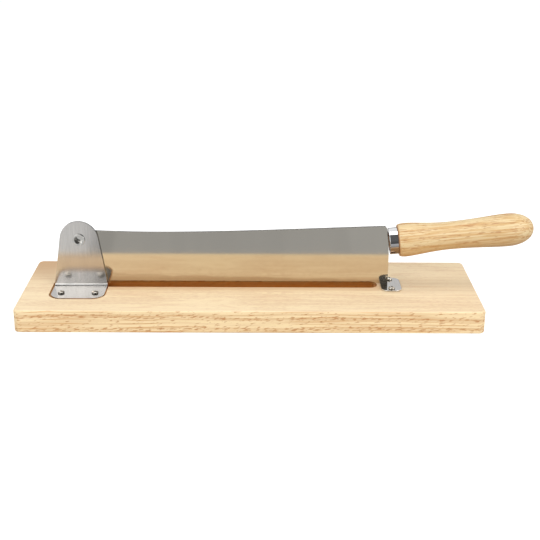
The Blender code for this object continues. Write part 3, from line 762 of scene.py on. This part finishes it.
class BuildBoard(bpy.types.Operator):
    """Build the board with its crumb groove, bracket pocket and screw holes"""
    bl_idname = "bread_guide.build_board"
    bl_label = "Build board"

    def execute(self, context):
        sizes = context.scene.bread_board
        bm = block(BOARD_LOW, BOARD_HIGH)
        round_edges(bm, edges_of(bm, upright=True), sizes.corner_radius, 12)
        round_edges(bm, edges_of(bm, upright=False), sizes.arris, 6)
        board = new_piece("board_finished", bm)
        holes = screw_holes(context, [*BRACKET_SCREWS, *STOP_SCREWS], GAP)
        shaped(board, [self.pocket(sizes), self.groove(sizes), *holes])
        finished(board, "board", "base", board_wood(sizes), sizes.cut_arris)
        return {"FINISHED"}

    def pocket(self, sizes):
        """Return the cutter of the pocket round the bracket's foot."""
        low, high = BRACKET_LOW, BRACKET_HIGH
        bm = block((low.x - sizes.pocket_left, low.y - sizes.pocket_front, low.z - GAP),
                   (high.x + sizes.pocket_right, HINGE.y + sizes.pocket_back, high.z))
        corners = edges_of(bm, upright=True)
        front = [e for e in corners if e.verts[0].co.y < HINGE.y]
        back = [e for e in corners if e.verts[0].co.y > HINGE.y]
        round_edges(bm, front, sizes.pocket_radius, 16)
        round_edges(bm, back, sizes.pocket_back_radius, 8)
        return bm

    def groove(self, sizes):
        """Return the cutter of the crumb groove, with its two round ends."""
        half = sizes.groove_width / 2
        top = BOARD_HIGH.z
        bm = block((BOARD_LOW.x + sizes.groove_start, HINGE.y - half, top - sizes.groove_depth),
                   (BOARD_LOW.x + sizes.groove_end, HINGE.y + half, top + half))
        round_edges(bm, edges_of(bm, upright=True), half - GAP / 10, 16)
        return bm


class BuildBracket(bpy.types.Operator):
    """Build the hinge bracket, bent from one sheet"""
    bl_idname = "bread_guide.build_bracket"
    bl_label = "Build bracket"

    def execute(self, context):
        sizes = context.scene.bread_bracket
        bracket = new_piece("hinge_bracket_finished", self.sheet(sizes))
        thicken = bracket.modifiers.new("sheet", "SOLIDIFY")
        thicken.thickness = sizes.sheet
        thicken.offset = -1
        thicken.use_even_offset = True
        shaped(bracket)
        shaped(bracket, [rivet_hole(context, BRACKET_HIGH.z), *screw_holes(context, BRACKET_SCREWS)])
        material = brushed_steel(sizes, sizes.lean)
        finished(bracket, "hinge_bracket", "base", material, sizes.edge)
        return {"FINISHED"}

    def sheet(self, sizes):
        """Return the sheet's outer face: the foot, the bend and the ear."""
        low, high = BRACKET_LOW, BRACKET_HIGH
        bend = sizes.bend_radius
        top = low.z + sizes.sheet
        ear = high.y - sizes.sheet
        bm = bmesh.new()
        corners = [(low.x, low.y), (high.x, low.y), (high.x, ear - bend), (low.x, ear - bend)]
        points = [bm.verts.new((x, y, top)) for x, y in corners]
        bm.faces.new(points)
        hinge_line = bm.edges.get(points[2:])
        bmesh.ops.bevel(bm, geom=points[:2], offset=sizes.foot_radius, offset_type="OFFSET", segments=20,
                        profile=0.5, affect="VERTICES", material=-1)
        bent = bmesh.ops.spin(bm, geom=[*hinge_line.verts, hinge_line], cent=(0, ear - bend, top + bend),
                              axis=(1, 0, 0), angle=math.pi / 2, steps=12)["geom_last"]
        ends = sorted((v for v in bent if isinstance(v, bmesh.types.BMVert)), key=lambda v: v.co.x)
        centre = HINGE.xz
        away = ends[1].co.xz - centre
        tangent = math.atan2(away.y, away.x) + math.acos(sizes.ear_radius / away.length)
        crown = arc(centre, sizes.ear_radius, tangent, math.pi - tangent, 64)
        bm.faces.new([*ends, *[bm.verts.new((x, ear, z)) for x, z in crown]])
        bmesh.ops.recalc_face_normals(bm, faces=bm.faces)
        level = max(bm.faces, key=lambda face: abs(face.normal.z) * face.calc_area())
        if level.normal.z < 0:
            bmesh.ops.reverse_faces(bm, faces=bm.faces)
        return bm


class BuildRivet(bpy.types.Operator):
    """Build the hollow rivet that the blade turns on"""
    bl_idname = "bread_guide.build_rivet"
    bl_label = "Build rivet"

    def execute(self, context):
        sizes = context.scene.bread_rivet
        lay = Matrix.Translation(HINGE) @ Matrix.Rotation(math.pi / 2, 4, "X")
        steps = context.scene.bread_studio.turned_steps
        rivet = new_piece("pivot_rivet_finished", turned(self.profile(context, sizes), steps, lay))
        material = rivet_steel(sizes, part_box("pivot_rivet")[0].y)
        finished(rivet, "pivot_rivet", "base", material)
        return {"FINISHED"}

    def profile(self, context, sizes):
        """Return the rivet's half section, its heights measured forwards from the hinge axis."""
        low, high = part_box("pivot_rivet")
        front = HINGE.y - low.y
        back = HINGE.y - high.y
        ear = HINGE.y - BRACKET_HIGH.y + context.scene.bread_bracket.sheet + GAP
        blade = -context.scene.bread_blade.thickness / 2 - GAP
        head = (high.x - low.x) / 2
        body = sizes.diameter / 2
        ring = sizes.flange / 2
        bore = body - sizes.wall
        mouth = body - sizes.mouth_wall
        floor = back + sizes.bottom
        profile = [(0, floor)]
        profile += rounded((0, floor), (bore, floor), (bore, front), 0.3 * MM)
        profile += curve((bore, front - sizes.flange_height), (bore, front - 0.2 * MM), (bore, front),
                         (mouth, front), 8)
        profile += rounded((mouth, front), (ring, front), (ring, ear), sizes.flange_height / 2)
        profile += [(ring, ear), (body, ear), (body, blade)]
        profile += curve((head, blade), (head, (back + blade) / 2), (head / 2, back), (0, back))
        return profile


class BuildStopPlate(bpy.types.Operator):
    """Build the plate that the blade's heel comes down on"""
    bl_idname = "bread_guide.build_stop_plate"
    bl_label = "Build stop plate"

    def execute(self, context):
        sizes = context.scene.bread_bracket
        bm = block(*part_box("stop_plate"))
        round_edges(bm, edges_of(bm, upright=True), sizes.stop_radius, 16)
        plate = new_piece("stop_plate_finished", bm)
        shaped(plate, screw_holes(context, STOP_SCREWS))
        finished(plate, "stop_plate", "base", brushed_steel(sizes), sizes.edge)
        return {"FINISHED"}


class BuildScrews(bpy.types.Operator):
    """Build the four cross-head screws"""
    bl_idname = "bread_guide.build_screws"
    bl_label = "Build screws"

    def execute(self, context):
        sizes = context.scene.bread_screws
        for screws, steep_shade in ((BRACKET_SCREWS, sizes.bracket_steep_shade), (STOP_SCREWS, sizes.stop_steep_shade)):
            for node, turn in screws.items():
                # Steep faces of each head keep only part of the tint: painted shade
                material = plated(f"{node}_plate", sizes.plate, 0.8, 0.18, 0.72, (steep_shade, steep_shade, steep_shade))
                self.build(sizes, node, math.radians(turn), material)
        return {"FINISHED"}

    def build(self, sizes, node, turn, material):
        """Build one screw where the frame has it."""
        low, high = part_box(node)
        x, y = (low + high).xy / 2
        head = (high.x - low.x) / 2
        under = high.z - sizes.head_height
        shank = sizes.shank / 2
        profile = [(0, low.z), (shank, low.z + sizes.tip), (shank, under), (head - 0.1 * MM, under),
                   (head, under + 0.1 * MM)]
        profile += curve((head, under + sizes.head_edge), (head * 0.9, high.z), (head / 2, high.z),
                         (0, high.z), 12)
        screw = new_piece(f"{node}_finished", turned(profile, SMALL_STEPS, Matrix.Translation((x, y, 0))))
        crown = Matrix.Translation((x, y, high.z))
        shaped(screw, [self.arm(sizes, crown, turn), self.arm(sizes, crown, turn + math.pi / 2)])
        finished(screw, node, "base", material)

    def arm(self, sizes, crown, turn):
        """Return the cutter of one arm of the cross, narrower at its bottom."""
        half = Vector((sizes.cross / 2, sizes.cross_width / 2, sizes.cross_depth))
        bm = block(-half, half)
        bottom = [v for v in bm.verts if v.co.z < 0]
        bmesh.ops.scale(bm, vec=(0.35, 0.6, 1), verts=bottom)
        bmesh.ops.transform(bm, matrix=crown @ Matrix.Rotation(turn, 4, "Z"), verts=bm.verts)
        return bm


def handle_axis(context, along, above=0.0):
    """Return a place in the blade's plane, along and above the handle's axis, from the hinge axis."""
    blade = context.scene.bread_blade
    sizes = context.scene.bread_handle
    ahead = Vector((math.cos(sizes.tilt), math.sin(sizes.tilt)))
    up = Vector((-ahead.y, ahead.x))
    back_end = blade.edge_start + blade.edge_length + blade.heel
    start = back_end + sizes.setback * ahead.x - sizes.ferrule / 2 * ahead.y
    return Vector((start, -sizes.drop)) + along * ahead + above * up


def on_handle_axis(context):
    """Return the matrix that lays +Z of a turned piece along the handle's axis."""
    x, z = handle_axis(context, 0.0)
    tilt = Matrix.Rotation(math.pi / 2 - context.scene.bread_handle.tilt, 4, "Y")
    return Matrix.Translation(HINGE + Vector((x, 0, z))) @ tilt


class BuildBlade(bpy.types.Operator):
    """Build the blade, ground to a wedge, with its tang"""
    bl_idname = "bread_guide.build_blade"
    bl_label = "Build blade"

    def execute(self, context):
        sizes = context.scene.bread_blade
        bm = prism(self.outline(context), -1, 1)
        ground = -sizes.edge_drop + sizes.grind
        bmesh.ops.bisect_plane(bm, geom=bm.verts[:] + bm.edges[:] + bm.faces[:], dist=WELD,
                               plane_co=(0, ground, 0), plane_no=(0, 1, 0))
        self.stand_up(sizes, bm, ground)
        rims = [e for e in bm.edges if e.calc_face_angle(0) > math.radians(60)
                and abs(e.verts[0].co.y - e.verts[1].co.y) < GAP
                and min(v.co.z for v in e.verts) > HINGE.z - sizes.heel_drop + GAP]
        round_edges(bm, rims, sizes.edge, 3)
        blade = new_piece("blade_finished", bm)
        shaped(blade, [rivet_hole(context, 4 * sizes.thickness)])
        finished(blade, "blade", "blade_arm", polished_steel(sizes), levelled=True)
        return {"FINISHED"}

    def stand_up(self, sizes, bm, ground):
        """Stand the flat blade, whose sides are at -1 and 1, on edge at the hinge, ground to a wedge."""
        height = sizes.spine_end + sizes.edge_drop
        for v in bm.verts:
            part = (v.co.y + sizes.edge_drop) / height
            half = (sizes.edge_thickness + (sizes.thickness - sizes.edge_thickness) * part) / 2
            if v.co.y < ground - WELD:
                half *= sizes.keenness
            v.co = HINGE + Vector((v.co.x, -v.co.z * half, v.co.y))
        bmesh.ops.recalc_face_normals(bm, faces=bm.faces)

    def outline(self, context):
        """Return the blade's side view, from the hinge axis."""
        sizes = context.scene.bread_blade
        handle = context.scene.bread_handle
        back = -handle.setback
        half_tang = sizes.tang_height / 2
        tang_end = handle.ferrule_length + sizes.tang_depth
        edge_start = Vector((sizes.edge_start, -sizes.edge_drop))
        edge_end = sizes.edge_start + sizes.edge_length
        low_back = handle_axis(context, back, -handle.ferrule / 2)
        root = handle_axis(context, back)
        corner = Vector((root.x - (sizes.spine_end - root.y) * math.tan(handle.tilt), sizes.spine_end))
        tang_top = handle_axis(context, back, half_tang)
        spine = self.spine(sizes, corner)
        outline = [edge_start, (edge_end, -sizes.edge_drop), (edge_end, -sizes.heel_drop),
                   (low_back.x, -sizes.heel_drop), low_back, handle_axis(context, back, -half_tang),
                   handle_axis(context, tang_end, -half_tang), handle_axis(context, tang_end, half_tang),
                   tang_top]
        outline += rounded(tang_top, corner, spine[-2], sizes.corner)
        outline += spine[-2:0:-1]
        left = (math.atan2(edge_start.y, edge_start.x) - math.acos(sizes.spine_start / edge_start.length)
                + math.tau)
        outline += arc(Vector((0, 0)), sizes.spine_start, math.pi / 2, left, 32)
        return outline

    def spine(self, sizes, corner):
        """Return the spine's curve: a shallow dip behind the hinge, then a slow rise."""
        start = Vector((0, sizes.spine_start))
        low = Vector((sizes.spine_low_at, sizes.spine_low))
        near = sizes.spine_low_at / 3
        far = (corner.x - low.x) / 3
        dip = curve(start, start + near * Vector((1, -0.05)), low - Vector((near, 0)), low)
        rise = curve(low, low + Vector((far, 0)), corner - far * Vector((1, 0.036)), corner)
        return dip + rise[1:]


class BuildFerrule(bpy.types.Operator):
    """Build the chrome ferrule"""
    bl_idname = "bread_guide.build_ferrule"
    bl_label = "Build ferrule"

    def execute(self, context):
        sizes = context.scene.bread_handle
        wall = sizes.ferrule_wall
        outer = sizes.ferrule / 2
        inner = outer - wall
        lip = inner - sizes.ferrule_lip
        end = sizes.ferrule_length
        profile = rounded((lip, 0), (outer, 0), (outer, end), wall / 2)
        profile += rounded((outer, 0), (outer, end), (inner, end), 0.15 * MM)
        profile += [(inner, end), (inner, wall), (lip, wall), (lip, 0)]
        steps = context.scene.bread_studio.turned_steps
        ferrule = new_piece("ferrule_finished", turned(profile, steps, on_handle_axis(context), ring=True))
        # The ferrule's underside painted with a reflection of the shaded wood below
        material = plated("ferrule_chrome", sizes.chrome, 0.94, 0.05, -0.12, sizes.painted_under_reflection)
        finished(ferrule, "ferrule", "blade_arm", material)
        return {"FINISHED"}


class BuildHandle(bpy.types.Operator):
    """Build the turned wooden handle"""
    bl_idname = "bread_guide.build_handle"
    bl_label = "Build handle"

    def execute(self, context):
        sizes = context.scene.bread_handle
        blade = context.scene.bread_blade
        place = on_handle_axis(context)
        steps = context.scene.bread_studio.turned_steps
        handle = new_piece("handle_finished", turned(self.profile(sizes), steps, place))
        tall = blade.tang_height / 2 + GAP
        wide = blade.thickness / 2 + GAP
        slot = block((-tall, -wide, 0), (tall, wide, sizes.ferrule_length + blade.tang_depth + GAP))
        bmesh.ops.transform(slot, matrix=place, verts=slot.verts)
        shaped(handle, [slot])
        material = handle_wood(sizes, place.translation)
        finished(handle, "handle", "blade_arm", material)
        return {"FINISHED"}

    def profile(self, sizes):
        """Return the handle's half outline: tenon, nose, shoulder, waist, belly and butt."""
        face = sizes.ferrule_length + GAP
        start = sizes.ferrule_wall + GAP
        tenon = sizes.ferrule / 2 - start
        full = Vector((sizes.shoulder, sizes.shoulder_at))
        waist = Vector((sizes.waist, sizes.waist_at))
        belly = Vector((sizes.belly, sizes.length - sizes.butt))
        nose = Vector((sizes.nose, 0))
        edge = Vector((full.x, nose.y))
        up = Vector((0, 1))
        neck = waist.y - full.y
        swell = belly.y - waist.y
        body = curve(nose, nose.lerp(edge, sizes.edge_fullness), full.lerp(edge, sizes.edge_fullness),
                     full, 12)
        body += curve(full, full + sizes.full_reach * neck * up,
                      waist - sizes.waist_reach * neck * up, waist)[1:]
        body += curve(waist, waist + sizes.waist_reach * swell * up,
                      belly - sizes.full_reach * swell * up, belly)[1:]
        body += curve(belly, belly + sizes.butt_fullness * sizes.butt * up,
                      (sizes.butt_fullness * belly.x, sizes.length), (0, sizes.length))[1:]
        return [(0, start), (tenon, start), (tenon, face), *[p + face * up for p in body]]


class BuildStudio(bpy.types.Operator):
    """Build the camera, the soft lights, the reflection cards and the floor"""
    bl_idname = "bread_guide.build_studio"
    bl_label = "Build studio"

    def execute(self, context):
        scene = context.scene
        sizes = scene.bread_studio
        scene.view_settings.view_transform = "Standard"
        self.camera(scene, sizes)
        self.world(scene, sizes)
        self.floor(sizes)
        self.cards()
        for name, place, side in SOFTBOXES:
            self.softbox(scene, name, Vector(place), side, getattr(sizes, name))
        return {"FINISHED"}

    def camera(self, scene, sizes):
        """Place the camera."""
        lens = bpy.data.cameras.new("camera")
        lens.lens = sizes.lens
        camera = bpy.data.objects.new("camera", lens)
        scene.collection.objects.link(camera)
        camera.matrix_world = (Matrix.Translation(sizes.camera_place)
                               @ Matrix.Rotation(sizes.camera_yaw, 4, "Z")
                               @ Matrix.Rotation(math.pi / 2 - sizes.camera_pitch, 4, "X")
                               @ Matrix.Rotation(sizes.camera_roll, 4, "Z"))
        scene.camera = camera

    def world(self, scene, sizes):
        """Make a world that is white to the camera and in reflections, and a soft fill otherwise."""
        scene.world = bpy.data.worlds.new("studio")
        scene.world.use_nodes = True
        nodes = Nodes(scene.world.node_tree)
        seen = nodes.ray("Is Camera Ray")
        for kind in ("Is Glossy Ray", "Is Transmission Ray"):
            seen = seen.math("MAXIMUM", seen, nodes.ray(kind))
        background = nodes.tree.nodes["Background"]
        nodes.feed(background.inputs["Color"], (1, 1, 1))
        nodes.feed(background.inputs["Strength"], sizes.fill + (1 - sizes.fill) * seen)

    def floor(self, sizes):
        """Lay the floor: white to the camera save for a soft shadow, plain to the light."""
        bm = bmesh.new()
        bmesh.ops.create_grid(bm, x_segments=1, y_segments=1, size=4)
        bmesh.ops.translate(bm, vec=(0, 0, -0.05 * MM), verts=bm.verts)
        floor = new_piece("floor", bm)
        finish = Finish("floor")
        finish.set({"Base Color": sizes.floor, "Roughness": 1, "Specular IOR Level": 0})
        plain = Field(finish, finish.shader.outputs[0])
        glow = finish.node("ShaderNodeEmission", None, {"Strength": sizes.floor_glow})
        shadowed = finish.node("ShaderNodeBsdfDiffuse", None, {"Color": sizes.floor})
        bright = finish.node("ShaderNodeAddShader", None, {0: glow, 1: shadowed})
        seen = finish.ray("Is Camera Ray")
        finish.show(finish.node("ShaderNodeMixShader", None, {0: seen, 1: plain, 2: bright}))
        floor.data.materials.append(finish.material)

    def cards(self):
        """Hang curved cards round the piece, and lay flat ones before it, that only reflections see."""
        for name, reach, left, right, start, end, level in CARDS:
            bm = bmesh.new()
            ends = [bm.verts.new((x, reach, 0)) for x in (left, right)]
            edge = bm.edges.new(ends)
            tip = Matrix.Rotation(math.radians(start), 3, "X")
            bmesh.ops.rotate(bm, verts=ends, cent=(0, 0, 0), matrix=tip)
            bmesh.ops.spin(bm, geom=[*ends, edge], cent=(0, 0, 0), axis=(1, 0, 0),
                           angle=math.radians(end - start), steps=16)
            self.show_in_reflections(new_piece(name, bm), level)
        for name, left, right, level in FLOOR_CARDS:
            bm = block((left, FLOOR_CARD_FRONT, 0), (right, BOARD_LOW.y - GAP, GAP))
            self.show_in_reflections(new_piece(name, bm), level)

    def show_in_reflections(self, card, level):
        """Give a card an even grey that only reflections see."""
        finish = Finish(card.name)
        finish.show(finish.node("ShaderNodeEmission", None, {"Strength": level}))
        card.data.materials.append(finish.material)
        card.visible_camera = False
        card.visible_diffuse = False
        card.visible_shadow = False
        card.visible_transmission = False

    def softbox(self, scene, name, place, side, watts):
        """Hang a square softbox that faces the piece."""
        lamp = bpy.data.lights.new(name, "AREA")
        lamp.size = side
        lamp.energy = watts
        box = bpy.data.objects.new(name, lamp)
        scene.collection.objects.link(box)
        box.location = place
        box.rotation_euler = place.to_track_quat("Z", "Y").to_euler()


OPERATORS = (BuildBoard, BuildBracket, BuildRivet, BuildStopPlate, BuildScrews, BuildBlade, BuildFerrule,
             BuildHandle, BuildStudio)
SETTINGS = {"bread_board": BoardSettings, "bread_bracket": BracketSettings, "bread_rivet": RivetSettings,
            "bread_screws": ScrewSettings, "bread_blade": BladeSettings, "bread_handle": HandleSettings,
            "bread_studio": StudioSettings}


class BreadGuidePanel(bpy.types.Panel):
    """Lists the pieces of the bread slicing guide"""
    bl_idname = "VIEW3D_PT_bread_guide"
    bl_label = "Bread Guide"
    bl_space_type = "VIEW_3D"
    bl_region_type = "UI"
    bl_category = "Bread Guide"

    def draw(self, context):
        for operator in OPERATORS:
            self.layout.operator(operator.bl_idname)
        for name in SETTINGS:
            settings = getattr(context.scene, name)
            box = self.layout.box()
            for key in settings.__annotations__:
                box.prop(settings, key)


def register():
    for group in (*SETTINGS.values(), *OPERATORS, BreadGuidePanel):
        bpy.utils.register_class(group)
    for name, group in SETTINGS.items():
        setattr(bpy.types.Scene, name, PointerProperty(type=group))


def unregister():
    for name in SETTINGS:
        delattr(bpy.types.Scene, name)
    for group in (BreadGuidePanel, *OPERATORS, *SETTINGS.values()):
        bpy.utils.unregister_class(group)


def main():
    register()
    bpy.ops.bread_guide.build_board()
    bpy.ops.bread_guide.build_bracket()
    bpy.ops.bread_guide.build_rivet()
    bpy.ops.bread_guide.build_stop_plate()
    bpy.ops.bread_guide.build_screws()
    bpy.ops.bread_guide.build_blade()
    bpy.ops.bread_guide.build_ferrule()
    bpy.ops.bread_guide.build_handle()
    bpy.ops.bread_guide.build_studio()


if __name__ == "__main__":
    main()
